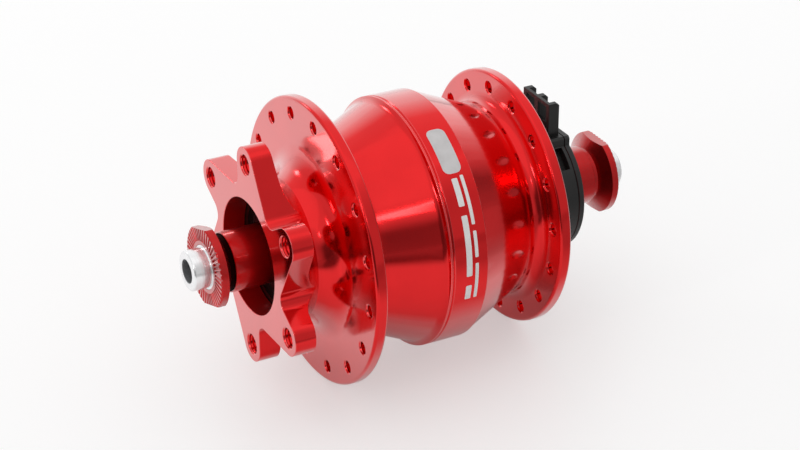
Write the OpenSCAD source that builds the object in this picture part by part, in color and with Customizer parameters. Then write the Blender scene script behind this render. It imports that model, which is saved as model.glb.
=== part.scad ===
// Front bicycle hub with a generator inside, six-bolt disc mount and quick-release axle.
// The axle lies along Y with the disc mount at -Y, the connector tower points to +Z and
// the origin is midway between the two faces that the fork grips. All sizes in millimetres.

/* [Axle] */
// distance between the two faces that the fork grips
over_locknut = 100; // [99:0.5:104]
// how far each stub stands out of its end cap
stub_length = 4; // [3:0.25:5]
// diameter of the stubs that sit in the fork slots
stub_d = 9; // [8.6:0.1:9.4]
// bore for the quick-release skewer
skewer_bore_d = 5.2; // [5:0.1:5.4]
// axle diameter inside the bearings and the end caps
journal_d = 10; // [9.8:0.1:10.2]
// axle diameter through the generator
stator_seat_d = 14; // [13.8:0.1:14.4]

/* [End caps] */
// outside diameter of the serrated flange
cap_d = 19; // [18.4:0.1:20]
// distance across the two spanner flats
cap_flats = 17; // [16.4:0.1:17.8]
// thickness of the flange rim
cap_rim_t = 1.8; // [1.4:0.1:2.4]
// outside diameter of the sleeve
cap_sleeve_d = 13.5; // [13:0.1:14]
// diameter of the undercut behind the flange
cap_neck_d = 12.4; // [12:0.1:12.8]
// width of the undercut
cap_neck_w = 1; // [0.6:0.1:1.4]
// length of the cone behind the flange
cap_cone = 1.9; // [1.4:0.1:2.2]
// number of serrations around the gripping face
serration_count = 48; // [24:2:54]
// depth of the serrations
serration_depth = 0.3; // [0.2:0.05:0.32]
// turn of the flats on the disc side
disc_cap_turn = 19; // [0:1:45]

/* [Disc mount] */
// from the fork face to the face that the rotor bolts to
rotor_offset = 10.5; // [10:0.1:12]
// bolt circle of the rotor
rotor_pcd = 44; // [43.6:0.1:44.6]
// number of rotor bolts
rotor_bolts = 6; // [6:1:6]
// threaded hole of a rotor bolt
rotor_hole_d = 4.4; // [4.2:0.1:4.8]
// turn of the first rotor bolt from the X axis
rotor_turn = 31; // [0:1:60]
// thickness of the swept arms at their tips
mount_t = 4.7; // [4.4:0.1:5]
// how much thicker an arm is where its hollow back begins
arm_taper = 0.5; // [0.3:0.1:0.8]
// hollow rounding behind the arms
throat_r = 5; // [4:0.25:5.25]
// round end of an arm
boss_d = 8.2; // [8:0.1:8.6]
// diameter that the notches between the arms reach down to
notch_floor_d = 32.6; // [32.4:0.1:33.4]
// rounding at the floor of a notch
notch_r = 2.8; // [2.4:0.1:3]
// angle from a bolt to the notch on its steep side
notch_turn = 21; // [20:0.5:23]
// bore around the end cap
mount_bore_d = 26.6; // [26.4:0.1:26.9]
// diameter of the neck behind the arms
neck_d = 31.6; // [31.2:0.1:32.2]
// hollow rounding from the neck to the flange
neck_fillet = 6.5; // [5:0.25:7]

/* [Shell] */
// spoke flange diameter on the disc side
disc_flange_d = 65.4; // [64:0.2:67]
// spoke flange diameter on the connector side
connector_flange_d = 59; // [58:0.2:61]
// flange thickness
flange_t = 2.8; // [2.6:0.1:3.2]
// rounding of the flange rim
flange_round = 0.7; // [0.4:0.1:1]
// hub centre to the middle of the disc-side flange
disc_flange_offset = 23.4; // [23.2:0.1:24]
// hub centre to the middle of the connector-side flange
connector_flange_offset = 23.5; // [23.2:0.1:23.7]
// spokes in each flange
spoke_count = 16; // [12:2:18]
// from the spoke circle to the rim on the disc side
disc_spoke_edge = 3.7; // [3.2:0.1:4.2]
// from the spoke circle to the rim on the connector side
connector_spoke_edge = 3.5; // [3.2:0.1:4]
// spoke hole
spoke_hole_d = 2.6; // [2.4:0.1:2.8]
// width of the chamfer at a spoke hole
spoke_sink = 0.3; // [0.1:0.05:0.4]
// turn of the first spoke hole on the disc side
disc_spoke_turn = 16.3; // [0:0.1:22.5]
// turn of the first spoke hole on the connector side
connector_spoke_turn = 7.4; // [0:0.1:22.5]
// diameter of the middle band and of the lip beside it
band_d = 57.2; // [57:0.1:58]
// radius lost for each millimetre along the cones
cone_slope = 0.45; // [0.42:0.01:0.46]
// rounding where the cones meet their flanges
root_fillet = 2.5; // [1.5:0.25:3]
// rounding that flares the disc-side cone out to its lip
lip_flare = 2.5; // [2:0.1:3]

/* [Bearings] */
// outside diameter of the bearings
bearing_d = 26; // [25.8:0.1:26.2]
// bearing width
bearing_w = 8; // [7.8:0.1:8]
// ball diameter
ball_d = 4.76; // [4.5:0.02:4.8]
// balls in a bearing
ball_count = 7; // [6:1:7]

/* [Generator] */
// magnets around the rotor
magnet_count = 28; // [24:2:28]
// magnet thickness
magnet_t = 1.7; // [1.4:0.1:1.8]
// length of the magnets
magnet_length = 15; // [14:0.5:15.5]
// shell wall between the band and the ring that carries the magnets
shell_wall = 4; // [3.8:0.1:4.4]
// thickness of the ring that carries the magnets
ring_t = 1.65; // [1.5:0.05:1.8]
// air gap between the magnets and the claw fingers
air_gap = 0.45; // [0.4:0.05:0.8]
// thickness of the claw plates and their fingers
claw_t = 2; // [1.8:0.1:2]
// length of the core between the claw plates
core_length = 14; // [13.5:0.25:14.2]
// outside diameter of the core
core_d = 20; // [19:0.25:20.5]
// nut across its flats
nut_flats = 20; // [19:0.25:21]

/* [Connector] */
// diameter of the round block
housing_d = 29.6; // [29:0.1:30.4]
// from the hub centre to the outer face of the block
housing_face = 37.4; // [37:0.1:38]
// thickness of the lid
cover_t = 1.5; // [1.3:0.1:1.8]
// width of the tower
tower_w = 11.2; // [11:0.1:12]
// height of the tower above the axle
tower_top = 22.8; // [22:0.1:24]
// depth of the tower
tower_depth = 2.7; // [2.5:0.1:2.9]
// from the hub centre to the inner face of the tower
tower_y = 32.7; // [32.5:0.1:32.9]
// width of a wire channel in the tower
channel_w = 3.7; // [3.5:0.1:3.9]
// diameter of an insulated wire
wire_d = 1.1; // [1:0.05:1.15]

/* [Clearances] */
// radial gap of pieces that sit on one another
seat_gap = 0.03; // [0.02:0.01:0.04]
// gap between a ball and its grooves
ball_gap = 0.07; // [0.05:0.01:0.09]
// gap between the turning shell and the fixed block
run_gap = 0.6; // [0.5:0.1:0.8]

/* [Hidden] */
$fn = 96;
cap_face = over_locknut / 2;
axle_end = cap_face + stub_length;
journal_r = journal_d / 2;
seat_r = stator_seat_d / 2;
mount_face = -cap_face + rotor_offset;
neck_r = neck_d / 2;
disc_spoke_pcd = disc_flange_d - 2 * disc_spoke_edge;
connector_spoke_pcd = connector_flange_d - 2 * connector_spoke_edge;
band_r = band_d / 2;
bearing_r = bearing_d / 2;
ball_r = ball_d / 2;
pitch_r = (journal_r + bearing_r) / 2;
race_groove_r = ball_r + ball_gap;
inner_shoulder_r = pitch_r - 1.6;
outer_shoulder_r = pitch_r + 1.6;
seal_t = 0.6;
seal_inset = 0.3;
seal_seat_r = outer_shoulder_r + 0.6;
disc_bearing_y = -33;
connector_bearing_y = 17.5;
circlip_t = 1.1;
circlip_groove_r = bearing_r + 1.2;
disc_flange_front = -disc_flange_offset - flange_t / 2;
disc_flange_back = disc_flange_front + flange_t;
connector_flange_front = connector_flange_offset - flange_t / 2;
connector_flange_back = connector_flange_front + flange_t;
seam_y = -4;
band_end = 4.4;
seam_chamfer = 0.3;
flux_ring_r = band_r - shell_wall;
spigot_r = flux_ring_r + 1;
spigot_length = 2.5;
gasket_t = 0.6;
ring_half = core_length / 2 + 1.2;
ring_seat_r = flux_ring_r + seat_gap;
web_bore_r = bearing_r - 1.5;
disc_web_t = 5;
connector_web_t = 3.5;
wall_t = 2.6;
hub_end = connector_bearing_y + bearing_w + circlip_t + 0.4;
boss_r = circlip_groove_r + 2.3;
magnet_outer_r = flux_ring_r - ring_t;
magnet_inner_r = magnet_outer_r - magnet_t;
claw_r = magnet_inner_r - air_gap;
claw_back = core_length / 2 + claw_t;
collar_r = seat_r + 2.5;
washer_t = 0.8;
nut_t = 3.2;
housing_start = hub_end + run_gap;
housing_r = housing_d / 2;
cover_start = housing_face - cover_t;
channel_x = (tower_w / 2 - 1.2 + 0.7) / 2;
channel_floor = tower_y + 0.8;
slot_w = 2.7;
slot_floor = 3.5;
wire_x = wire_d / 2 + 0.1;
wire_z = slot_floor + wire_d / 2 + 0.08;
contact_t = 0.4;
lid_seam = 0.2;

function polar(r, a) = [r * cos(a), r * sin(a)];
function arc_points(c, r, from, to, steps) =
  [for (i = [0:steps]) c + polar(r, from + (to - from) * i / steps)];

// turns a profile of [radius, distance along the axle] about the axle
module turned(points) {
  rotate([-90, 0, 0]) rotate_extrude($fn = 180) polygon(points);
}

// a plain ring about the axle
module ring(inner, outer, from, to) {
  turned([[inner, from], [outer, from], [outer, to], [inner, to]]);
}

// carries a flat shape drawn in X and Z from one place along the axle to another
module slab(from, to) {
  translate([0, to, 0]) rotate([90, 0, 0]) linear_extrude(to - from) children();
}

// repeats a piece around the axle
module around(count, first) {
  for (i = [0:count - 1]) rotate([0, -first - 360 * i / count, 0]) children();
}

module axle() {
  tip = 0.3;
  color("silver") difference() {
    turned([
      [skewer_bore_d / 2, -axle_end], [stub_d / 2 - tip, -axle_end],
      [stub_d / 2, -axle_end + tip], [stub_d / 2, -cap_face], [journal_r, -cap_face],
      [journal_r, disc_bearing_y + bearing_w], [seat_r, disc_bearing_y + bearing_w],
      [seat_r, -claw_back - 2], [collar_r, -claw_back - 2], [collar_r, -claw_back],
      [seat_r, -claw_back], [seat_r, connector_bearing_y], [journal_r, connector_bearing_y],
      [journal_r, cap_face], [stub_d / 2, cap_face], [stub_d / 2, axle_end - tip],
      [stub_d / 2 - tip, axle_end], [skewer_bore_d / 2, axle_end]]);
    translate([-slot_w / 2, claw_back - claw_t + 0.3, slot_floor])
      cube([slot_w, tower_y - claw_back + claw_t + 1, seat_r]);
  }
}

// sleeve with a serrated flange, drawn for the +Y end, its inner end at the given place
module end_cap(inner_end, turn) {
  edge = 0.3;
  cone_end = cap_face - cap_rim_t - cap_cone;
  sleeve_end = cone_end - cap_neck_w;
  sleeve_edge = 0.15;
  bore = journal_r + seat_gap;
  serration_start = journal_r + 0.9;
  color("red") difference() {
    intersection() {
      turned([
        [bore, inner_end], [cap_sleeve_d / 2 - edge, inner_end],
        [cap_sleeve_d / 2, inner_end + edge], [cap_sleeve_d / 2, sleeve_end - sleeve_edge],
        [cap_sleeve_d / 2 - sleeve_edge, sleeve_end], [cap_neck_d / 2, sleeve_end],
        [cap_neck_d / 2, cone_end],
        [cap_d / 2, cap_face - cap_rim_t], [cap_d / 2, cap_face - edge],
        [cap_d / 2 - edge, cap_face], [bore, cap_face]]);
      rotate([0, -turn, 0]) translate([-cap_d, -2 * cap_face, -cap_flats / 2])
        cube([2 * cap_d, 4 * cap_face, cap_flats]);
    }
    around(serration_count, 0) translate([serration_start, 0, 0])
      rotate([90, 0, 90]) linear_extrude(cap_d)
        polygon([[cap_face - serration_depth, 0], [cap_face + 0.2, serration_depth + 0.2],
          [cap_face + 0.2, -serration_depth - 0.2]]);
  }
}

module disc_side_end_cap() {
  mirror([0, 1, 0]) end_cap(-disc_bearing_y, disc_cap_turn);
}

module connector_side_end_cap() {
  end_cap(housing_face, 0);
}

// outline of one swept arm, its bolt on the X axis, the steep side at larger angles
module arm_outline() {
  boss = [rotor_pcd / 2, 0];
  reach = boss_d / 2 + notch_r;
  notch_centre_r = notch_floor_d / 2 + notch_r;
  near = polar(notch_centre_r, notch_turn);
  far = polar(notch_centre_r, notch_turn - 360 / rotor_bolts);
  to_near = near - boss;
  to_far = far - boss;
  near_dir = atan2(to_near[1], to_near[0]) - acos(reach / norm(to_near));
  far_dir = atan2(to_far[1], to_far[0]) + acos(reach / norm(to_far));
  // neighbouring arms overlap by this angle at the notch floors
  lap = 1;
  // the straight sides end this far inside the round ends and the notches
  bite = 0.03;
  boss_reach = boss_d / 2 - bite;
  notch_reach = notch_r - bite;
  polygon([
    [0, 0], polar(notch_floor_d / 2, notch_turn - 360 / rotor_bolts - lap),
    far - polar(notch_reach, far_dir), boss + polar(boss_reach, far_dir),
    boss + polar(boss_reach, near_dir), near - polar(notch_reach, near_dir),
    polar(notch_floor_d / 2, notch_turn + lap)]);
  translate(boss) circle(d = boss_d);
}

// ring of swept arms with rounded notches between them
module mount_outline() {
  notch_centre_r = notch_floor_d / 2 + notch_r;
  difference() {
    for (i = [0:rotor_bolts - 1]) rotate(rotor_turn + 360 * i / rotor_bolts) arm_outline();
    for (i = [0:rotor_bolts - 1])
      rotate(rotor_turn + notch_turn + 360 * i / rotor_bolts)
        translate([notch_centre_r, 0]) circle(r = notch_r);
  }
}

// through hole along the axle with a chamfer at both faces
module sunk_hole(d, sink, from, to) {
  turned([
    [0, from - 1], [d / 2 + sink + 1, from - 1], [d / 2, from + sink], [d / 2, to - sink],
    [d / 2 + sink + 1, to + 1], [0, to + 1]]);
}

module disc_side_shell() {
  lean = sqrt(1 + cone_slope * cone_slope);
  lean_angle = atan(cone_slope);
  // radius of the cone where it would meet the seam
  cone_r = band_r - 0.5;
  root_y = disc_flange_back + root_fillet;
  root_r = cone_r + cone_slope * (root_y - seam_y) + lean * root_fillet;
  flare_y = seam_y - 2;
  flare_c = [cone_r + cone_slope * (flare_y - seam_y) + lip_flare / lean,
    flare_y - lip_flare * cone_slope / lean];
  flare_end = acos((band_r - flare_c[0]) / lip_flare);
  rim_r = disc_flange_d / 2 - flange_round;
  bearing_end = disc_bearing_y + bearing_w;
  cavity_y = bearing_end + disc_web_t;
  cavity_r = cone_r + cone_slope * (cavity_y - seam_y) - wall_t * lean;
  circlip_end = disc_bearing_y - circlip_t - 0.1;
  gasket_y = seam_y - spigot_length - gasket_t;
  arm_back = mount_face + mount_t;
  arm_reach = rotor_pcd / 2 + boss_d;
  throat_c = [neck_r + throat_r, arm_back + arm_taper + throat_r];
  color("red") difference() {
    union() {
      turned(concat(
        [[0, mount_face + 1], [neck_r, mount_face + 1]],
        arc_points([neck_r + neck_fillet, disc_flange_front - neck_fillet], neck_fillet, 180, 90, 10),
        arc_points([rim_r, disc_flange_front + flange_round], flange_round, -90, 0, 5),
        arc_points([rim_r, disc_flange_back - flange_round], flange_round, 0, 90, 5),
        arc_points([root_r, root_y], root_fillet, 270, 180 - lean_angle, 8),
        arc_points(flare_c, lip_flare, 180 - lean_angle, flare_end, 6),
        [[band_r, seam_y - seam_chamfer], [band_r - seam_chamfer, seam_y], [0, seam_y]]));
      // arms with a tapered back that runs out into the neck
      intersection() {
        slab(mount_face, throat_c[1] + 1) mount_outline();
        turned(concat(
          [[0, mount_face - 1], [arm_reach, mount_face - 1], [arm_reach, arm_back]],
          arc_points(throat_c, throat_r, 270, 180, 10),
          [[0, throat_c[1]]]));
      }
    }
    // room for the end cap, the bearing and the generator
    turned([
      [0, mount_face - 1], [mount_bore_d / 2, mount_face - 1], [mount_bore_d / 2, circlip_end],
      [circlip_groove_r, circlip_end], [circlip_groove_r, disc_bearing_y],
      [bearing_r + seat_gap, disc_bearing_y], [bearing_r + seat_gap, bearing_end],
      [web_bore_r, bearing_end], [web_bore_r, cavity_y], [cavity_r, cavity_y],
      [ring_seat_r - 1, -ring_half - 0.2], [ring_seat_r, -ring_half - 0.2],
      [ring_seat_r, gasket_y], [spigot_r + seat_gap, gasket_y],
      [spigot_r + seat_gap, seam_y + 1], [0, seam_y + 1]]);
    around(rotor_bolts, rotor_turn) translate([rotor_pcd / 2, 0, 0])
      sunk_hole(rotor_hole_d, 0.3, mount_face, arm_back + arm_taper + 2);
    around(spoke_count, disc_spoke_turn) translate([disc_spoke_pcd / 2, 0, 0])
      sunk_hole(spoke_hole_d, spoke_sink, disc_flange_front, disc_flange_back);
  }
}

module connector_side_shell() {
  lean = sqrt(1 + cone_slope * cone_slope);
  lean_angle = atan(cone_slope);
  root_y = connector_flange_front - root_fillet;
  root_r = band_r - cone_slope * (root_y - band_end) + lean * root_fillet;
  rim_r = connector_flange_d / 2 - flange_round;
  cavity_y = connector_bearing_y - connector_web_t;
  cavity_r = band_r - cone_slope * (cavity_y - band_end) - wall_t * lean;
  bearing_end = connector_bearing_y + bearing_w;
  circlip_end = bearing_end + circlip_t + 0.1;
  color("red") difference() {
    turned(concat(
      [[spigot_r, seam_y - spigot_length], [spigot_r, seam_y], [band_r - seam_chamfer, seam_y],
        [band_r, seam_y + seam_chamfer], [band_r, band_end - 0.2], [band_r - 0.2, band_end]],
      arc_points([root_r, root_y], root_fillet, 180 + lean_angle, 90, 8),
      arc_points([rim_r, connector_flange_front + flange_round], flange_round, -90, 0, 5),
      arc_points([rim_r, connector_flange_back - flange_round], flange_round, 0, 90, 5),
      [[boss_r + 2, connector_flange_back], [boss_r, connector_flange_back + 1],
        [boss_r, hub_end - 0.3], [boss_r - 0.3, hub_end], [bearing_r + seat_gap, hub_end],
        [bearing_r + seat_gap, circlip_end], [circlip_groove_r, circlip_end],
        [circlip_groove_r, bearing_end], [bearing_r + seat_gap, bearing_end],
        [bearing_r + seat_gap, connector_bearing_y], [web_bore_r, connector_bearing_y],
        [web_bore_r, cavity_y], [cavity_r, cavity_y], [ring_seat_r - 1, ring_half],
        [ring_seat_r, ring_half], [ring_seat_r, seam_y - spigot_length]]));
    around(spoke_count, connector_spoke_turn) translate([connector_spoke_pcd / 2, 0, 0])
      sunk_hole(spoke_hole_d, spoke_sink, connector_flange_front, connector_flange_back);
  }
}

module seam_gasket() {
  color("black") ring(ring_seat_r + 0.05, spigot_r - 0.05,
    seam_y - spigot_length - gasket_t, seam_y - spigot_length);
}

module flux_ring() {
  color("gray") ring(magnet_outer_r + seat_gap, flux_ring_r, -ring_half, ring_half);
}

module rotor_magnets() {
  step = 360 / magnet_count;
  gap = 0.2;
  color("darkgray") intersection() {
    ring(magnet_inner_r, magnet_outer_r, -magnet_length / 2, magnet_length / 2);
    slab(-magnet_length, magnet_length) for (i = [0:magnet_count - 1]) rotate(step * i)
      polygon([
        [gap / sin(step / 2), 0],
        [gap / sin(step / 2), 0] + polar(2 * flux_ring_r, -step / 2),
        [gap / sin(step / 2), 0] + polar(2 * flux_ring_r, step / 2)]);
  }
}

// plate with fingers bent over the coil, drawn with its plate at +Y
module claw_pole(turn, notched) {
  count = magnet_count / 2;
  inner = claw_r - claw_t;
  tip_y = -core_length / 2 + 0.6;
  root_w = 2 * PI * claw_r / magnet_count - 0.8;
  tip_w = root_w * 0.62;
  color("slategray") difference() {
    union() {
      ring(seat_r + seat_gap, inner + 0.5, core_length / 2, claw_back);
      intersection() {
        ring(inner, claw_r, tip_y, claw_back);
        around(count, turn) rotate([90, 0, 90]) linear_extrude(2 * claw_r)
          polygon([[tip_y, -tip_w / 2], [claw_back, -root_w / 2], [claw_back, root_w / 2],
            [tip_y, tip_w / 2]]);
      }
    }
    if (notched) translate([-slot_w / 2, 0, seat_r - 1])
      cube([slot_w, 2 * claw_back, core_d / 2 + 3 - seat_r + 1]);
  }
}

module disc_side_claw_pole() {
  mirror([0, 1, 0]) claw_pole(540 / magnet_count, false);
}

module connector_side_claw_pole() {
  claw_pole(180 / magnet_count, true);
}

module stator_core() {
  color("slategray") ring(seat_r + seat_gap, core_d / 2, -core_length / 2, core_length / 2);
}

module coil_bobbin() {
  inner = core_d / 2 + seat_gap;
  tube = inner + 1.1;
  outer = claw_r - claw_t - 0.4;
  half = core_length / 2;
  cheek = 0.8;
  color("ivory") difference() {
    turned([
      [inner, -half], [outer, -half], [outer, -half + cheek], [tube, -half + cheek],
      [tube, half - cheek], [outer, half - cheek], [outer, half], [inner, half]]);
    translate([-slot_w / 2, half - cheek - 0.5, tube])
      cube([slot_w, cheek + 1, 1.8]);
  }
}

module coil_winding() {
  half = core_length / 2 - 0.8;
  color("peru") ring(core_d / 2 + 1.1 + 2 * seat_gap, claw_r - claw_t - 0.6, -half, half);
}

module stator_washer() {
  color("silver") ring(seat_r + seat_gap, nut_flats / 2, claw_back, claw_back + washer_t);
}

module stator_nut() {
  start = claw_back + washer_t;
  color("silver") difference() {
    slab(start, start + nut_t) rotate(30) circle(d = nut_flats / cos(30), $fn = 6);
    ring(0, seat_r + seat_gap, start - 1, start + nut_t + 1);
  }
}

// one groove ring of a bearing, from its inner to its outer radius
module grooved_race(inner, outer, from) {
  difference() {
    ring(inner, outer, from, from + bearing_w);
    rotate([-90, 0, 0]) translate([0, 0, from + bearing_w / 2])
      rotate_extrude($fn = 180) translate([pitch_r, 0]) circle(r = race_groove_r, $fn = 48);
  }
}

module inner_race(from) {
  color("lightgray") grooved_race(journal_r + seat_gap, inner_shoulder_r, from);
}

module outer_race(from) {
  depth = seal_t + seal_inset;
  color("lightgray") difference() {
    grooved_race(outer_shoulder_r, bearing_r, from);
    ring(0, seal_seat_r, from - 1, from + depth);
    ring(0, seal_seat_r, from + bearing_w - depth, from + bearing_w + 1);
  }
}

module bearing_seals(from) {
  inner = inner_shoulder_r + 0.3;
  outer = seal_seat_r - seat_gap;
  color("black") {
    ring(inner, outer, from + seal_inset, from + seal_inset + seal_t);
    ring(inner, outer, from + bearing_w - seal_inset - seal_t, from + bearing_w - seal_inset);
  }
}

module cage(from) {
  half = ball_r + 0.45;
  middle = from + bearing_w / 2;
  color("goldenrod") difference() {
    ring(pitch_r - 0.7, pitch_r + 0.7, middle - half, middle + half);
    around(ball_count, 0) translate([pitch_r, middle, 0]) rotate([0, 90, 0])
      cylinder(r = race_groove_r, h = 4, center = true);
  }
}

module balls(from) {
  color("lightgray") around(ball_count, 0) translate([pitch_r, from + bearing_w / 2, 0])
    sphere(d = ball_d);
}

// open spring ring with two eyes, drawn in X and Z
module circlip_outline() {
  eye = 1.4;
  inner = bearing_r - 1;
  outer = circlip_groove_r - 0.1;
  difference() {
    union() {
      difference() {
        circle(r = outer);
        circle(r = inner);
        polygon([[0, 0], polar(2 * outer, -12), polar(2 * outer, 12)]);
      }
      for (side = [-1, 1]) rotate(side * 15) translate([inner, 0]) circle(r = eye);
    }
    for (side = [-1, 1]) rotate(side * 15) translate([inner, 0]) circle(r = 0.6);
  }
}

module disc_side_circlip() {
  color("dimgray") slab(disc_bearing_y - circlip_t, disc_bearing_y) circlip_outline();
}

module connector_side_circlip() {
  start = connector_bearing_y + bearing_w;
  color("dimgray") slab(start, start + circlip_t) circlip_outline();
}

module connector_spacer() {
  color("silver") ring(journal_r + seat_gap, inner_shoulder_r,
    connector_bearing_y + bearing_w, housing_start);
}

// shoulder below the tower, drawn in X and Z
module shoulder_outline() {
  shoulder = tower_w / 2 + 1.9;
  top = housing_r + 0.1;
  corner = 0.5;
  polygon([
    [-shoulder, 0], [shoulder, 0], [shoulder, top - corner], [shoulder - corner, top],
    [-shoulder + corner, top], [-shoulder, top - corner]]);
}

module connector_housing() {
  window_w = channel_w - 0.1;
  window_h = 3.8;
  corner = 0.8;
  recess_w = 5.4;
  recess_depth = 2.2;
  recess_edge = 0.9;
  tower_back = tower_y + tower_depth;
  bore = journal_r + seat_gap;
  color("black") difference() {
    union() {
      slab(tower_y - 1.5, cover_start - 0.5 * lid_seam) shoulder_outline();
      turned([[0, housing_start], [housing_r - 0.4, housing_start], [housing_r, housing_start + 0.4],
        [housing_r, cover_start - lid_seam], [housing_r - lid_seam, cover_start], [0, cover_start]]);
      difference() {
        translate([-tower_w / 2, tower_y, 0]) cube([tower_w, tower_depth, tower_top]);
        translate([0, tower_back, tower_top]) rotate([45, 0, 0])
          cube([2 * tower_w, corner, corner], center = true);
      }
    }
    ring(0, bore, 0, 2 * housing_face);
    // wire channels, closed below by the lid and open above it
    for (side = [-1, 1]) {
      translate([side * channel_x - channel_w / 2, channel_floor, housing_r - 6])
        cube([channel_w, tower_depth + 5, tower_top]);
      translate([side * channel_x - window_w / 2, tower_y - 1, tower_top - 0.9 - window_h])
        cube([window_w, 2, window_h]);
    }
    // way of the wires from the axle slot to the channels
    translate([-slot_w / 2, tower_y - 0.5, 0]) cube([slot_w, 10, housing_r - 5]);
    translate([-channel_x - channel_w / 2, channel_floor, housing_r - 8.5])
      cube([2 * channel_x + channel_w, 10, 3.5]);
    // recesses in the side wall
    for (side = [-1, 1]) rotate([0, -side * 42, 0])
      translate([-recess_w / 2, housing_start + recess_edge, housing_r - recess_depth])
        cube([recess_w, cover_start - housing_start - 2 * recess_edge, 2 * recess_depth]);
  }
}

module connector_cover() {
  bore = journal_r + seat_gap;
  edge = 0.3;
  color("black") difference() {
    union() {
      slab(cover_start + 0.5 * lid_seam, housing_face - 0.5 * edge) shoulder_outline();
      turned([[0, cover_start], [housing_r - lid_seam, cover_start], [housing_r, cover_start + lid_seam],
        [housing_r, housing_face - edge], [housing_r - edge, housing_face], [0, housing_face]]);
    }
    ring(0, bore, cover_start - 1, housing_face + 1);
  }
}

module contact_blades() {
  width = channel_w - 1.2;
  foot = housing_r - 5.5;
  top = tower_top - 5.2;
  color("gold") for (side = [-1, 1])
    translate([side * channel_x - width / 2, channel_floor, foot])
      cube([width, contact_t, top - foot]);
}

// round wire through the given points
module wire(points) {
  for (i = [0:len(points) - 2]) {
    step = points[i + 1] - points[i];
    turn = atan2(step[1], step[0]);
    dip = acos(step[2] / norm(step));
    translate(points[i]) rotate([0, dip, turn]) cylinder(d = wire_d, h = norm(step), $fn = 24);
  }
  for (i = [1:len(points) - 2]) translate(points[i]) sphere(d = 1.02 * wire_d, $fn = 24);
}

module lead_wires() {
  start_z = core_d / 2 + 1.9;
  plate_y = claw_back - claw_t / 2;
  rise_y = channel_floor + contact_t + wire_d / 2 + 0.02;
  turn_z = housing_r - 6.6;
  color("dimgray") for (side = [-1, 1]) wire([
    [side * wire_x, core_length / 2 - 0.7, start_z], [side * wire_x, plate_y, start_z],
    [side * wire_x, plate_y, wire_z], [side * wire_x, tower_y + 0.2, wire_z],
    [side * wire_x, rise_y, turn_z], [side * channel_x, rise_y, turn_z],
    [side * channel_x, rise_y, housing_r - 3]]);
}

module disc_side_inner_race() {
  inner_race(disc_bearing_y);
}

module connector_side_inner_race() {
  inner_race(connector_bearing_y);
}

module disc_side_outer_race() {
  outer_race(disc_bearing_y);
}

module connector_side_outer_race() {
  outer_race(connector_bearing_y);
}

module disc_side_bearing_seals() {
  bearing_seals(disc_bearing_y);
}

module connector_side_bearing_seals() {
  bearing_seals(connector_bearing_y);
}

module disc_side_cage() {
  cage(disc_bearing_y);
}

module connector_side_cage() {
  cage(connector_bearing_y);
}

module disc_side_balls() {
  balls(disc_bearing_y);
}

module connector_side_balls() {
  balls(connector_bearing_y);
}

axle();
disc_side_end_cap();
connector_side_end_cap();
connector_housing();
connector_cover();
contact_blades();
lead_wires();
connector_spacer();
disc_side_inner_race();
connector_side_inner_race();
stator_core();
disc_side_claw_pole();
connector_side_claw_pole();
coil_bobbin();
coil_winding();
stator_washer();
stator_nut();
disc_side_shell();
connector_side_shell();
seam_gasket();
flux_ring();
rotor_magnets();
disc_side_outer_race();
connector_side_outer_race();
disc_side_bearing_seals();
connector_side_bearing_seals();
disc_side_circlip();
connector_side_circlip();
disc_side_cage();
disc_side_balls();
connector_side_cage();
connector_side_balls();
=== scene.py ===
"""Front hub with a generator: finishes, broken edges, printed marks, threads, studio and camera."""

import math

import bmesh
import bpy
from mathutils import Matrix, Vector


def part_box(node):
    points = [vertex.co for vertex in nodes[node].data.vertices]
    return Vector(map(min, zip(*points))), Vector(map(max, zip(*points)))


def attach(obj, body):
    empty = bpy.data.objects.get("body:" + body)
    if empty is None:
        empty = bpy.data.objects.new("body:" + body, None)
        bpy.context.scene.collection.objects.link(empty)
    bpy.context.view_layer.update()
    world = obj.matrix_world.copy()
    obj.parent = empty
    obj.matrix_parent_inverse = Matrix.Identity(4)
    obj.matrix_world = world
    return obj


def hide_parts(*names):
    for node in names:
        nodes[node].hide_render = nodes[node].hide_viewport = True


MM = 0.001
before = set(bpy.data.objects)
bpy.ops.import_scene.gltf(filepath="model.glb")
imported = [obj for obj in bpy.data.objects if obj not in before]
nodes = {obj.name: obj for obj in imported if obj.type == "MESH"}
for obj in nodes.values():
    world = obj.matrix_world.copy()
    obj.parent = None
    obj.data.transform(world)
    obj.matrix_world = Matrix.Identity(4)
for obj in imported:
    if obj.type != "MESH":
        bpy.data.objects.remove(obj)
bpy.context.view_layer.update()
scene = bpy.context.scene

sides = ("disc_side", "connector_side")

# Places on the hub, along the axle in y
disc_flange_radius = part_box("disc_side_shell")[1].x
connector_flange_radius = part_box("connector_side_shell")[1].x
disc_flange_y = -23.4 * MM
flange_spread = 46.9 * MM
band_radius = 28.6 * MM
bolt_circle_radius = 22 * MM
bolt_hole_radius = 2.2 * MM
bolt_count = 6
first_bolt_turn = 31
bolt_thread_y = -35 * MM
mount_bore_reach = 13.45 * MM
skewer_bore_reach = 2.7 * MM
axle_reach = 60 * MM
cap_neck_reach = 6.45 * MM
cap_neck_start = -46.5 * MM
cap_neck_end = -44.9 * MM
merge_gap = 0.001 * MM


# Selection and editing

def deselect_all():
    if bpy.context.object and bpy.context.object.mode != "OBJECT":
        bpy.ops.object.mode_set(mode="OBJECT")
    bpy.ops.object.select_all(action="DESELECT")


def pick(piece):
    deselect_all()
    piece.select_set(True)
    bpy.context.view_layer.objects.active = piece


def edit(piece, action="SELECT"):
    """Edit mode with all of the piece selected, or none of it."""
    pick(piece)
    bpy.ops.object.mode_set(mode="EDIT")
    bpy.ops.mesh.select_mode(type="VERT")
    bpy.ops.mesh.select_all(action=action)


def leave_edit():
    bpy.ops.object.mode_set(mode="OBJECT")


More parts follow.
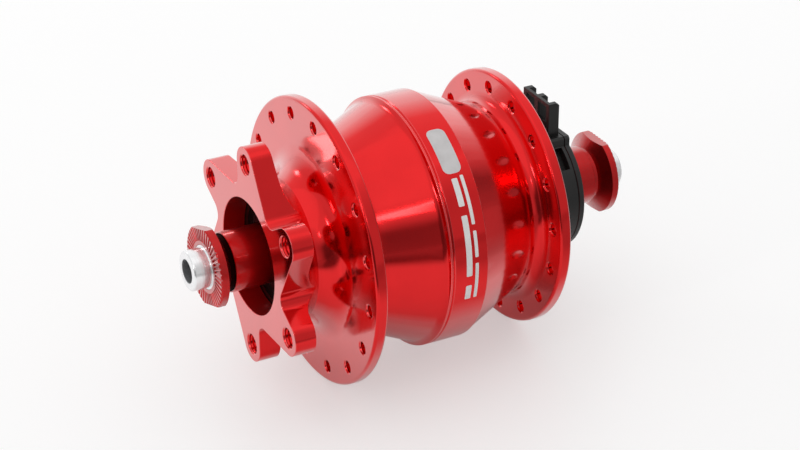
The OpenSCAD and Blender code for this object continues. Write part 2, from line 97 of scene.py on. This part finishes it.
def edit_vertices(piece, chosen):
    """Edit mode with only the chosen vertices selected."""
    edit(piece, "DESELECT")
    leave_edit()
    for vertex in piece.data.vertices:
        vertex.select = chosen(vertex)
    bpy.ops.object.mode_set(mode="EDIT")


def apply_modifier(piece, kind, **settings):
    pick(piece)
    modifier = piece.modifiers.new(kind.lower(), kind)
    for name, value in settings.items():
        setattr(modifier, name, value)
    bpy.ops.object.modifier_apply(modifier=modifier.name)


def settle(piece):
    """Puts the place of a piece into its mesh."""
    pick(piece)
    bpy.ops.object.transform_apply(location=True, rotation=True, scale=True)


def smooth(piece, angle):
    pick(piece)
    bpy.ops.object.shade_smooth_by_angle(angle=math.radians(angle))


def dress(piece, *materials):
    piece.data.materials.clear()
    for material in materials:
        piece.data.materials.append(material)


# Shader nodes

def shader_of(material):
    return material.node_tree.nodes["Principled BSDF"]


def set_levels(material, levels):
    for socket, level in levels.items():
        shader_of(material).inputs[socket].default_value = level


def new_material(name, color, metallic, roughness):
    material = bpy.data.materials.new(name)
    material.use_nodes = True
    set_levels(material, {"Metallic": metallic, "Roughness": roughness, "Base Color": (*color, 1)})
    return material


def link(tree, value, socket):
    """Gives a socket a number, a colour or another node's output."""
    if isinstance(value, (int, float)):
        socket.default_value = (value, value, value, 1) if socket.type == "RGBA" else value
    elif isinstance(value, tuple):
        socket.default_value = (*value, 1)
    else:
        tree.links.new(value, socket)


def math_node(tree, operation, first, second):
    node = tree.nodes.new("ShaderNodeMath")
    node.operation = operation
    link(tree, first, node.inputs[0])
    link(tree, second, node.inputs[1])
    return node.outputs["Value"]


def blend(tree, factor, first, second):
    """Mixes two colours, each an output, a colour or a grey level."""
    mix = tree.nodes.new("ShaderNodeMix")
    mix.data_type = "RGBA"
    tree.links.new(factor, mix.inputs["Factor"])
    colors = [socket for socket in mix.inputs if socket.type == "RGBA"]
    link(tree, first, colors[0])
    link(tree, second, colors[1])
    return next(socket for socket in mix.outputs if socket.type == "RGBA")


def spread(tree, value, low, high, start=0.3, end=0.7):
    """Maps start to end onto low to high, and holds the ends."""
    ranged = tree.nodes.new("ShaderNodeMapRange")
    levels = {"From Min": start, "From Max": end, "To Min": low, "To Max": high}
    for name, level in levels.items():
        ranged.inputs[name].default_value = level
    tree.links.new(value, ranged.inputs["Value"])
    return ranged.outputs["Result"]


def two_tones(tree, value, first, second):
    ramp = tree.nodes.new("ShaderNodeValToRGB")
    ends = ramp.color_ramp.elements
    ends[0].position, ends[1].position = 0.35, 0.65
    ends[0].color, ends[1].color = (*first, 1), (*second, 1)
    tree.links.new(value, ramp.inputs["Fac"])
    return ramp.outputs["Color"]


def object_place(tree, scale=1):
    place = tree.nodes.new("ShaderNodeTexCoord")
    mapping = tree.nodes.new("ShaderNodeMapping")
    mapping.inputs["Scale"].default_value = (scale, scale, scale)
    tree.links.new(place.outputs["Object"], mapping.inputs["Vector"])
    return mapping.outputs["Vector"]


def noise(tree, place, scale, detail=3):
    texture = tree.nodes.new("ShaderNodeTexNoise")
    texture.inputs["Scale"].default_value = scale
    texture.inputs["Detail"].default_value = detail
    tree.links.new(place, texture.inputs["Vector"])
    return texture.outputs["Fac"]


def lathe_place(tree):
    """Radius from the axle and distance along it."""
    place = tree.nodes.new("ShaderNodeTexCoord")
    split = tree.nodes.new("ShaderNodeSeparateXYZ")
    flat = tree.nodes.new("ShaderNodeCombineXYZ")
    length = tree.nodes.new("ShaderNodeVectorMath")
    length.operation = "LENGTH"
    tree.links.new(place.outputs["Object"], split.inputs["Vector"])
    tree.links.new(split.outputs["X"], flat.inputs["X"])
    tree.links.new(split.outputs["Z"], flat.inputs["Z"])
    tree.links.new(flat.outputs["Vector"], length.inputs[0])
    return length.outputs["Value"], split.outputs["Y"]


def lathe_lines(tree, per_metre):
    """Fine lines that run round the axle."""
    radius, along = lathe_place(tree)
    join = tree.nodes.new("ShaderNodeCombineXYZ")
    grow = tree.nodes.new("ShaderNodeVectorMath")
    grow.operation = "SCALE"
    grow.inputs["Scale"].default_value = per_metre
    tree.links.new(radius, join.inputs["X"])
    tree.links.new(along, join.inputs["Y"])
    tree.links.new(join.outputs["Vector"], grow.inputs[0])
    return noise(tree, grow.outputs["Vector"], 1, detail=4)


def bump(tree, shader, height, strength, depth):
    node = tree.nodes.new("ShaderNodeBump")
    node.inputs["Strength"].default_value = strength
    node.inputs["Distance"].default_value = depth
    tree.links.new(height, node.inputs["Height"])
    tree.links.new(node.outputs["Normal"], shader.inputs["Normal"])


# Kinds of finish

def turned_metal(name, first, second, roughness, lines_per_metre, strength):
    """Metal from the lathe: fine lines round the axle and a little cloudiness."""
    material = new_material(name, first, 1, roughness[0])
    tree, shader = material.node_tree, shader_of(material)
    clouds_per_metre = 90
    line_depth = 0.02 * MM
    lines = lathe_lines(tree, lines_per_metre)
    clouds = noise(tree, object_place(tree), clouds_per_metre)
    tree.links.new(two_tones(tree, clouds, first, second), shader.inputs["Base Color"])
    tree.links.new(spread(tree, lines, *roughness), shader.inputs["Roughness"])
    bump(tree, shader, lines, strength, line_depth)
    return material


def grained(name, first, second, roughness, grains_per_metre, strength, metallic=0):
    """Moulded, stamped, printed or coated finish with an even grain."""
    material = new_material(name, first, metallic, roughness[0])
    tree, shader = material.node_tree, shader_of(material)
    grains_per_cloud = 12
    grain_depth = 0.05 * MM
    fine = noise(tree, object_place(tree), grains_per_metre)
    clouds = noise(tree, object_place(tree), grains_per_metre / grains_per_cloud)
    tree.links.new(two_tones(tree, clouds, first, second), shader.inputs["Base Color"])
    tree.links.new(spread(tree, clouds, *roughness), shader.inputs["Roughness"])
    bump(tree, shader, fine, strength, grain_depth)
    return material


def copper_wire():
    """Enamelled wire laid round the coil."""
    dark, bright = (0.30, 0.09, 0.03), (0.58, 0.22, 0.08)
    waves_per_metre = 700
    wire_depth = 0.1 * MM
    material = new_material("copper_wire", bright, 1, 0.25)
    tree, shader = material.node_tree, shader_of(material)
    wave = tree.nodes.new("ShaderNodeTexWave")
    wave.bands_direction = "Y"
    wave.inputs["Scale"].default_value = 1
    wave.inputs["Distortion"].default_value = 0.4
    tree.links.new(object_place(tree, waves_per_metre), wave.inputs["Vector"])
    tree.links.new(two_tones(tree, wave.outputs["Fac"], dark, bright), shader.inputs["Base Color"])
    bump(tree, shader, wave.outputs["Fac"], 0.5, wire_depth)
    return material


def anodised_gloss(material):
    """The clear skin of anodising: weak where it faces the eye and strong where it is seen flat."""
    weak, strong = 0.15, 1
    rise_start, rise_end = 0.4, 0.57
    tree, shader = material.node_tree, shader_of(material)
    facing = tree.nodes.new("ShaderNodeLayerWeight")
    facing.inputs["Blend"].default_value = 0.5
    gloss = spread(tree, facing.outputs["Facing"], weak, strong, rise_start, rise_end)
    tree.links.new(gloss, shader.inputs["Coat Weight"])
    set_levels(material, {"Coat Roughness": 0.1, "Coat IOR": 2.1})


bore_fade = 0.1 * MM


def at_least(material, socket_name, level):
    """Raises a linked socket to a level wherever the level is higher."""
    tree, socket = material.node_tree, shader_of(material).inputs[socket_name]
    before = socket.links[0].from_socket
    tree.links.new(math_node(tree, "MAXIMUM", before, level), socket)


def rough_bore(material, reach, roughness):
    """Nearer to the axle than the reach, the metal stays as the boring tool left it."""
    tree = material.node_tree
    radius, _ = lathe_place(tree)
    at_least(material, "Roughness", spread(tree, radius, roughness, 0, reach, reach + bore_fade))


def painted_shade_near_axle(material, color, reach, start, end):
    """Painted shade near the axle between two places on it: dark and matt, with the clear skin's gloss
    taken away there.
    """
    tree, shader = material.node_tree, shader_of(material)
    matt_roughness = 0.8
    radius, along = lathe_place(tree)
    inside = spread(tree, radius, 1, 0, reach, reach + bore_fade)
    after = spread(tree, along, 0, 1, start, start + bore_fade)
    before = spread(tree, along, 1, 0, end, end + bore_fade)
    # Where the painted shade falls: near the axle and between the two places.
    here = math_node(tree, "MULTIPLY", inside, math_node(tree, "MULTIPLY", after, before))
    base, coat = shader.inputs["Base Color"], shader.inputs["Coat Weight"]
    tree.links.new(blend(tree, here, base.links[0].from_socket, color), base)
    at_least(material, "Roughness", math_node(tree, "MULTIPLY", here, matt_roughness))
    if coat.is_linked:
        elsewhere = math_node(tree, "SUBTRACT", 1, here)
        tree.links.new(math_node(tree, "MULTIPLY", coat.links[0].from_socket, elsewhere), coat)


# Each finish has two tones, its lowest and highest roughness, lines or grains per metre, and relief

# Anodised shells, their polished edges and the deeper red of the end caps

red_anodised = turned_metal(
    "red_anodised", (0.74, 0.007, 0.009), (0.80, 0.009, 0.011), (0.11, 0.17), 3200, 0.02)
anodised_gloss(red_anodised)
rough_bore(red_anodised, mount_bore_reach, roughness=0.5)
polished_edge = turned_metal(
    "polished_edge", (0.82, 0.016, 0.018), (0.86, 0.022, 0.024), (0.10, 0.16), 3200, 0.02)
set_levels(polished_edge, {"Coat Weight": 0.8, "Coat Roughness": 0.08, "Coat IOR": 2.1})
deep_red = turned_metal(
    "deep_red_anodised", (0.50, 0.006, 0.007), (0.56, 0.008, 0.009), (0.34, 0.42), 3200, 0.02)
anodised_gloss(deep_red)
# Painted shade in the groove behind each cap's flange.
painted_shade_near_axle(deep_red, (0.02, 0.001, 0.001), cap_neck_reach, cap_neck_start, cap_neck_end)

# Bare metals

silver_axle = turned_metal(
    "machined_silver", (0.95, 0.95, 0.96), (0.90, 0.90, 0.91), (0.16, 0.28), 3000, 0.1)
set_levels(silver_axle, {"Metallic": 0.88})
# Painted shade inside the axle's skewer bore.
painted_shade_near_axle(silver_axle, (0.30, 0.30, 0.31), skewer_bore_reach, -axle_reach, axle_reach)
bearing_steel = turned_metal(
    "ground_steel", (0.66, 0.67, 0.69), (0.60, 0.61, 0.63), (0.08, 0.16), 5000, 0.03)
spring_steel = grained(
    "spring_steel", (0.030, 0.009, 0.008), (0.042, 0.012, 0.011), (0.5, 0.62), 2500, 0.15, metallic=1)
magnet_plate = grained(
    "nickel_plate", (0.50, 0.49, 0.47), (0.44, 0.43, 0.42), (0.22, 0.34), 2000, 0.10, metallic=1)
iron_sheet = grained(
    "zinc_sheet", (0.36, 0.37, 0.39), (0.28, 0.29, 0.31), (0.30, 0.45), 1500, 0.15, metallic=1)
brass_strip = grained(
    "brass_strip", (0.62, 0.42, 0.14), (0.56, 0.37, 0.12), (0.20, 0.32), 2200, 0.08, metallic=1)
copper = copper_wire()

# Plastics, rubber and print

black_plastic = grained(
    "black_plastic", (0.007, 0.0075, 0.0075), (0.011, 0.0115, 0.0115), (0.34, 0.46), 3000, 0.12)
set_levels(black_plastic, {"Specular IOR Level": 0.45})
seal_rubber = grained(
    "seal_rubber", (0.040, 0.004, 0.005), (0.055, 0.006, 0.007), (0.6, 0.8), 2500, 0.25)
set_levels(seal_rubber, {"Specular IOR Level": 0.06})
bobbin_plastic = grained(
    "bobbin_plastic", (0.60, 0.56, 0.45), (0.66, 0.62, 0.50), (0.40, 0.55), 2500, 0.12)
wire_sleeve = grained(
    "wire_sleeve", (0.045, 0.045, 0.048), (0.06, 0.06, 0.064), (0.45, 0.60), 3000, 0.15)
white_print = grained(
    "white_print", (0.82, 0.81, 0.80), (0.76, 0.75, 0.74), (0.35, 0.45), 3500, 0.08)
silver_print = grained(
    "silver_print", (0.58, 0.56, 0.56), (0.65, 0.63, 0.63), (0.30, 0.40), 3500, 0.08)

# Which piece has which finish

one_of_a_kind = {
    "axle": silver_axle,
    "connector_housing": black_plastic,
    "connector_cover": black_plastic,
    "contact_blades": brass_strip,
    "lead_wires": wire_sleeve,
    "connector_spacer": bearing_steel,
    "stator_core": iron_sheet,
    "coil_bobbin": bobbin_plastic,
    "coil_winding": copper,
    "stator_washer": bearing_steel,
    "stator_nut": bearing_steel,
    "seam_gasket": seal_rubber,
    "flux_ring": iron_sheet,
    "rotor_magnets": magnet_plate,
}
one_on_each_side = {
    "end_cap": deep_red,
    "shell": red_anodised,
    "claw_pole": iron_sheet,
    "inner_race": bearing_steel,
    "outer_race": bearing_steel,
    "bearing_seals": seal_rubber,
    "circlip": spring_steel,
    "cage": brass_strip,
    "balls": bearing_steel,
}
finishes = dict(one_of_a_kind)
for kind, material in one_on_each_side.items():
    for side in sides:
        finishes[f"{side}_{kind}"] = material
for name, material in finishes.items():
    dress(nodes[name], material)


# Outer pieces with broken edges and smooth curves, their angles in degrees

shell_edge = 0.28 * MM
cap_edge = 0.05 * MM
axle_edge = 0.1 * MM
plastic_edge = 0.12 * MM
corner_angle = 35
serration_angle = 25
curve_angle = 24
flat_angle = 0.5
solid_merge_gap = 0.002 * MM


def mark_outer_corners(piece, angle):
    """Marks the sharp outer corners for rounding. Inner corners stay as they are."""
    shape = bmesh.new()
    shape.from_mesh(piece.data)
    weight = shape.edges.layers.float.new("bevel_weight_edge")
    for edge in shape.edges:
        outer = len(edge.link_faces) == 2 and edge.is_convex
        edge[weight] = 1 if outer and edge.calc_face_angle() > math.radians(angle) else 0
    shape.to_mesh(piece.data)
    shape.free()


def broken_edges(name, body, width, angle=corner_angle, segments=4, edge_finish=None):
    """A merged copy of a solid whose sharp edges get the small rounding of the real piece."""
    piece = bpy.data.objects.new(name + "_finished", nodes[name].data.copy())
    scene.collection.objects.link(piece)
    pick(piece)
    if piece.data.has_custom_normals:
        bpy.ops.mesh.customdata_custom_splitnormals_clear()
    edit(piece)
    bpy.ops.mesh.remove_doubles(threshold=solid_merge_gap)
    bpy.ops.mesh.dissolve_limited(angle_limit=math.radians(flat_angle))
    leave_edit()
    mark_outer_corners(piece, angle)
    coats = [finishes[name], edge_finish] if edge_finish else [finishes[name]]
    dress(piece, *coats)
    apply_modifier(piece, "BEVEL", width=width, segments=segments, limit_method="WEIGHT",
                   use_clamp_overlap=True, harden_normals=False, material=len(coats) - 1)
    smooth(piece, curve_angle)
    apply_modifier(piece, "WEIGHTED_NORMAL", mode="FACE_AREA", weight=50, keep_sharp=True)
    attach(piece, body)
    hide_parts(name)


for side in sides:
    broken_edges(f"{side}_shell", "hub", shell_edge, edge_finish=polished_edge)
for side in sides:
    broken_edges(f"{side}_end_cap", "axle", cap_edge, serration_angle, segments=1)
broken_edges("axle", "axle", axle_edge)
for name in ("connector_housing", "connector_cover"):
    broken_edges(name, "axle", plastic_edge)


# Printed marks on the band, bare and without words, from one angle in degrees to another

print_lift = 0.03 * MM
print_thickness = 0.035 * MM
print_curve_angle = 30
print_corner_steps = 8
pill_turn = (44.4, 67.2)
pill_width = 4.4 * MM
pill_corner = 1.5 * MM
pill_y = 0.05 * MM
pill_steps = 6
wide_turns = ((-14.4, -7), (-2.3, 25.6), (29.6, 42.2))
wide_width = 1.4 * MM
wide_corner = 0.25 * MM
wide_y = -0.3 * MM
wide_steps = 8
fine_turns = ((-14.4, 3.4), (6.2, 18.2), (21, 43))
fine_width = 0.8 * MM
fine_corner = 0.2 * MM
fine_y = 1.55 * MM
fine_steps = 7


def band_strip(name, start, end, middle, width, steps):
    """A strip laid round the band between two angles, its edge spun about the axle."""
    radius = band_radius + print_lift
    deselect_all()
    bpy.ops.mesh.primitive_plane_add(size=width, location=(radius + width / 2, middle, 0))
    strip = bpy.context.object
    strip.name = name
    settle(strip)
    edit_vertices(strip, lambda vertex: vertex.co.x > radius + width / 2)
    bpy.ops.mesh.delete(type="VERT")
    bpy.ops.mesh.select_all(action="SELECT")
    turn = math.radians(end - start)
    bpy.ops.mesh.spin(steps=steps, angle=turn, center=(0, 0, 0), axis=(0, 1, 0))
    leave_edit()
    strip.rotation_euler = (0, -math.radians(start), 0)
    settle(strip)
    return strip


def round_corners(strip, offset):
    """Rounds the four outer corners of a strip in its own surface."""
    use = [0] * len(strip.data.vertices)
    for face in strip.data.polygons:
        for index in face.vertices:
            use[index] += 1
    edit_vertices(strip, lambda vertex: use[vertex.index] == 1)
    bpy.ops.mesh.bevel(affect="VERTICES", offset=offset, segments=print_corner_steps)
    leave_edit()


def finish_strip(strip, material):
    """Turns the strip's face outwards and gives it the thickness of print."""
    edit(strip)
    bpy.ops.mesh.remove_doubles(threshold=merge_gap)
    bpy.ops.mesh.normals_make_consistent(inside=False)
    leave_edit()
    if sum(face.normal.dot(face.center) for face in strip.data.polygons) < 0:
        edit(strip)
        bpy.ops.mesh.flip_normals()
        leave_edit()
    apply_modifier(strip, "SOLIDIFY", thickness=print_thickness, offset=-1)
    smooth(strip, print_curve_angle)
    dress(strip, material)
    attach(strip, "hub")


def printed_row(name, turns, middle, width, steps, corner):
    """A row of white bars, each between two angles."""
    for index, (start, end) in enumerate(turns):
        bar = band_strip(f"{name}_{index + 1}", start, end, middle, width, steps)
        round_corners(bar, corner)
        finish_strip(bar, white_print)


pill = band_strip("bare_pill", *pill_turn, pill_y, pill_width, pill_steps)
round_corners(pill, pill_corner)
finish_strip(pill, silver_print)
printed_row("wide_bar", wide_turns, wide_y, wide_width, wide_steps, wide_corner)
printed_row("fine_bar", fine_turns, fine_y, fine_width, fine_steps, fine_corner)


# Threads of the rotor bolt holes

def thread_coil(name, turn):
    """The thread of one bolt hole, standing a little inside it."""
    pitch = 0.8 * MM
    ridge = 0.22 * MM
    coils = 5
    steps = 20
    flank_angle = 40
    deselect_all()
    bpy.ops.mesh.primitive_circle_add(vertices=3, radius=ridge, location=(bolt_hole_radius, 0, 0),
                                      rotation=(math.pi / 2, 0, 0))
    coil = bpy.context.object
    coil.name = name
    settle(coil)
    apply_modifier(coil, "SCREW", axis="Z", screw_offset=pitch, iterations=coils, steps=steps,
                   render_steps=steps, angle=math.tau, use_merge_vertices=True,
                   merge_threshold=merge_gap, use_normal_calculate=True)
    edit(coil, "DESELECT")
    bpy.ops.mesh.select_non_manifold()
    bpy.ops.mesh.fill()
    bpy.ops.mesh.select_all(action="SELECT")
    bpy.ops.mesh.normals_make_consistent(inside=False)
    leave_edit()
    coil.rotation_euler = (math.pi / 2, 0, 0)
    coil.location = (bolt_circle_radius * math.cos(turn), bolt_thread_y,
                     bolt_circle_radius * math.sin(turn))
    settle(coil)
    smooth(coil, flank_angle)
    dress(coil, red_anodised)
    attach(coil, "hub")


for index in range(bolt_count):
    thread_coil(f"rotor_thread_{index + 1}", math.radians(first_bolt_turn + 360 * index / bolt_count))


# Studio

to_camera = (0.884, -0.468, 0)
to_backdrop = (-0.884, 0.468, 0)
to_right_wall = (0.866, 0.5, 0)
to_left_wall = (-0.5, -0.866, 0)
to_sheet_right = (0.55, 0.835, 0)


def light_path(tree, *rays):
    """1 for the named rays, 0 for the rest."""
    path = tree.nodes.new("ShaderNodeLightPath")
    result = path.outputs[rays[0]]
    for ray in rays[1:]:
        result = math_node(tree, "MAXIMUM", result, path.outputs[ray])
    return result


def toward(tree, place, direction, low, high, start, end):
    """A level that rises or falls along a direction."""
    along = tree.nodes.new("ShaderNodeVectorMath")
    along.operation = "DOT_PRODUCT"
    along.inputs[1].default_value = direction
    tree.links.new(place, along.inputs[0])
    return spread(tree, along.outputs["Value"], low, high, start, end)


def pale_sheet():
    """White to the camera and lit by the lamps. In metal the sheet ends before the camera, and its right
    part has painted shade.
    """
    color_to_eye, glow_to_eye = 0.5, 0.47
    color_in_metal, glow_in_metal = 0.88, 0.1
    room_in_metal, shade_in_metal_at_right = 0.12, 0.4
    sheet_start, sheet_end = 0.13, 0.2
    right_start, right_end = 0.045, 0.09
    clouds_per_metre = 3
    material = new_material("pale_sheet", (0.86, 0.86, 0.86), 0, 0.4)
    tree, shader = material.node_tree, shader_of(material)
    place = object_place(tree)
    lit = two_tones(tree, noise(tree, place, clouds_per_metre), (0.85, 0.85, 0.85), (0.87, 0.87, 0.87))
    to_eye = light_path(tree, "Is Camera Ray")
    in_metal = light_path(tree, "Is Glossy Ray", "Is Transmission Ray")
    seen = toward(tree, place, to_camera, color_in_metal, room_in_metal, sheet_start, sheet_end)
    # Painted shade: seen in metal, the sheet is darker to the right, standing in for the hub's shadow.
    painted_shade_at_right = toward(tree, place, to_sheet_right, 0, 1, right_start, right_end)
    seen = blend(tree, painted_shade_at_right, seen, shade_in_metal_at_right)
    glow = toward(tree, place, to_camera, glow_in_metal, 0, sheet_start, sheet_end)
    color = blend(tree, to_eye, blend(tree, in_metal, lit, seen), color_to_eye)
    shine = blend(tree, to_eye, blend(tree, in_metal, 0, glow), glow_to_eye)
    tree.links.new(color, shader.inputs["Base Color"])
    tree.links.new(shine, shader.inputs["Emission Color"])
    set_levels(material, {"Emission Strength": 1})
    return material


def studio_floor():
    """The sheet that both spoke flanges stand on."""
    width = 6
    clearance = 0.08 * MM
    tilt = math.atan((disc_flange_radius - connector_flange_radius) / flange_spread)
    deselect_all()
    bpy.ops.mesh.primitive_plane_add(size=width, location=(0, 0, 0))
    floor = bpy.context.object
    floor.name = "studio_floor"
    floor.rotation_euler = (tilt, 0, 0)
    floor.location = (0, 0, -disc_flange_radius - clearance - disc_flange_y * math.tan(tilt))
    settle(floor)
    dress(floor, pale_sheet())


def studio_world():
    """White to the camera. Metal shows a bright ceiling, a white backdrop and dimmer walls."""
    world = bpy.data.worlds.new("studio")
    scene.world = world
    world.use_nodes = True
    tree = world.node_tree
    background = tree.nodes["Background"]
    place = tree.nodes.new("ShaderNodeTexCoord").outputs["Generated"]
    split = tree.nodes.new("ShaderNodeSeparateXYZ")
    tree.links.new(place, split.inputs["Vector"])
    ramp = tree.nodes.new("ShaderNodeValToRGB")
    # Height above the horizon, up to 1 for straight above, and the level there
    heights = ((0.0, 0.13), (0.27, 0.16), (0.40, 0.60), (0.52, 0.88), (1.0, 0.92))
    while len(ramp.color_ramp.elements) < len(heights):
        ramp.color_ramp.elements.new(0.5)
    for element, (height, level) in zip(ramp.color_ramp.elements, heights):
        element.position = height
        element.color = (level, level, level, 1)
    tree.links.new(split.outputs["Z"], ramp.inputs["Fac"])
    room = ramp.outputs["Color"]
    # Direction of each wall, how squarely it is faced where it starts and where it is full, and its level
    walls = (
        (to_right_wall, 0.5, 0.85, 0.58),
        (to_left_wall, 0.45, 0.9, 0.8),
        (to_backdrop, 0.35, 0.8, 1),
    )
    for direction, start, end, level in walls:
        room = blend(tree, toward(tree, place, direction, 0, 1, start, end), room, level)
    shown = blend(tree, light_path(tree, "Is Camera Ray"), room, 1)
    tree.links.new(shown, background.inputs["Color"])
    background.inputs["Strength"].default_value = 1


def softbox(name, place, size, power):
    """A rectangular lamp aimed at the middle of the hub."""
    lamp = bpy.data.lights.new(name, "AREA")
    lamp.shape = "RECTANGLE"
    lamp.size, lamp.size_y = size
    lamp.energy = power
    lamp_object = bpy.data.objects.new(name, lamp)
    scene.collection.objects.link(lamp_object)
    lamp_object.location = place
    lamp_object.rotation_euler = Vector(place).to_track_quat("Z", "Y").to_euler()


def studio_camera():
    """At the photo's place and angle."""
    place = (0.41660, -0.22261, 0.24874)
    azimuth, elevation = math.radians(62.11), math.radians(27.97)
    level = math.cos(elevation)
    back = Vector((math.sin(azimuth) * level, -math.cos(azimuth) * level, math.sin(elevation)))
    camera = bpy.data.cameras.new("camera")
    camera.sensor_width = 36
    camera.sensor_fit = "HORIZONTAL"
    camera.lens = 106.95
    camera.clip_start = 0.01
    camera_object = bpy.data.objects.new("camera", camera)
    scene.collection.objects.link(camera_object)
    camera_object.location = place
    camera_object.rotation_euler = back.to_track_quat("Z", "Y").to_euler()
    scene.camera = camera_object


studio_floor()
studio_world()
studio_camera()
softbox("top_light", (0.1, -0.2, 0.95), (1.2, 1.2), 0.6)
softbox("front_left_light", (0.205, -0.82, 0.31), (0.05, 0.14), 0.36)
softbox("camera_side_light", (0.654, -0.377, 0.49), (0.06, 0.06), 0.08)
softbox("far_left_light", (-0.727, -0.339, 0.41), (0.12, 0.12), 0.27)

scene.view_settings.view_transform = "Standard"
